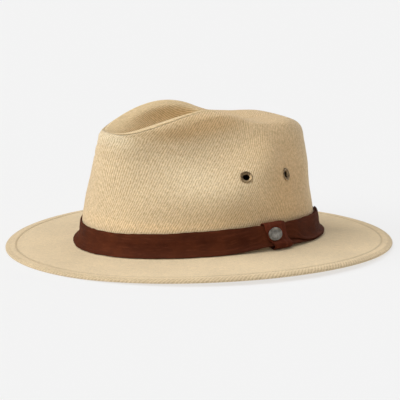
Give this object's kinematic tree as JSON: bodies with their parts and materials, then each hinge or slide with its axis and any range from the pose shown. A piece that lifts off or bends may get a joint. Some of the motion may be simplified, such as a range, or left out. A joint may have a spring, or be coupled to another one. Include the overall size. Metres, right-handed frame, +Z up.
{
  "type": "safari hat",
  "caption": "Soft cotton safari hat: dented teardrop crown, wide stitched brim, leather strap with a keeper loop and plain oval plate, and rolled brass eyelets.",
  "frame": {"origin": "on the floor under the centre of the brim's outline; the brim's lowest parts, front and back, are at Z = 0", "axes": "+Z up, the hat's front towards -Y, its left side with the strap's keeper towards +X"},
  "size_m": [0.3212, 0.3412, 0.1221],
  "materials": {
    "twill": "cream khaki cotton twill, matt",
    "strap_leather": "dark red-brown strap leather, satin, worn lighter on its folds",
    "eyelet_brass": "aged brass, dull with brighter rolled edges",
    "plate_metal": "aged nickel-grey metal, softly brushed"
  },
  "bodies": {
    "root": {"crown_side": "twill", "crown_tip": "twill", "brim": "twill", "hat_band": "strap_leather", "keeper_loop": "strap_leather", "eyelet_left_front": "eyelet_brass", "eyelet_left_rear": "eyelet_brass", "eyelet_right_front": "eyelet_brass", "eyelet_right_rear": "eyelet_brass", "keeper_plate": "plate_metal"}
  },
  "joints": []
}
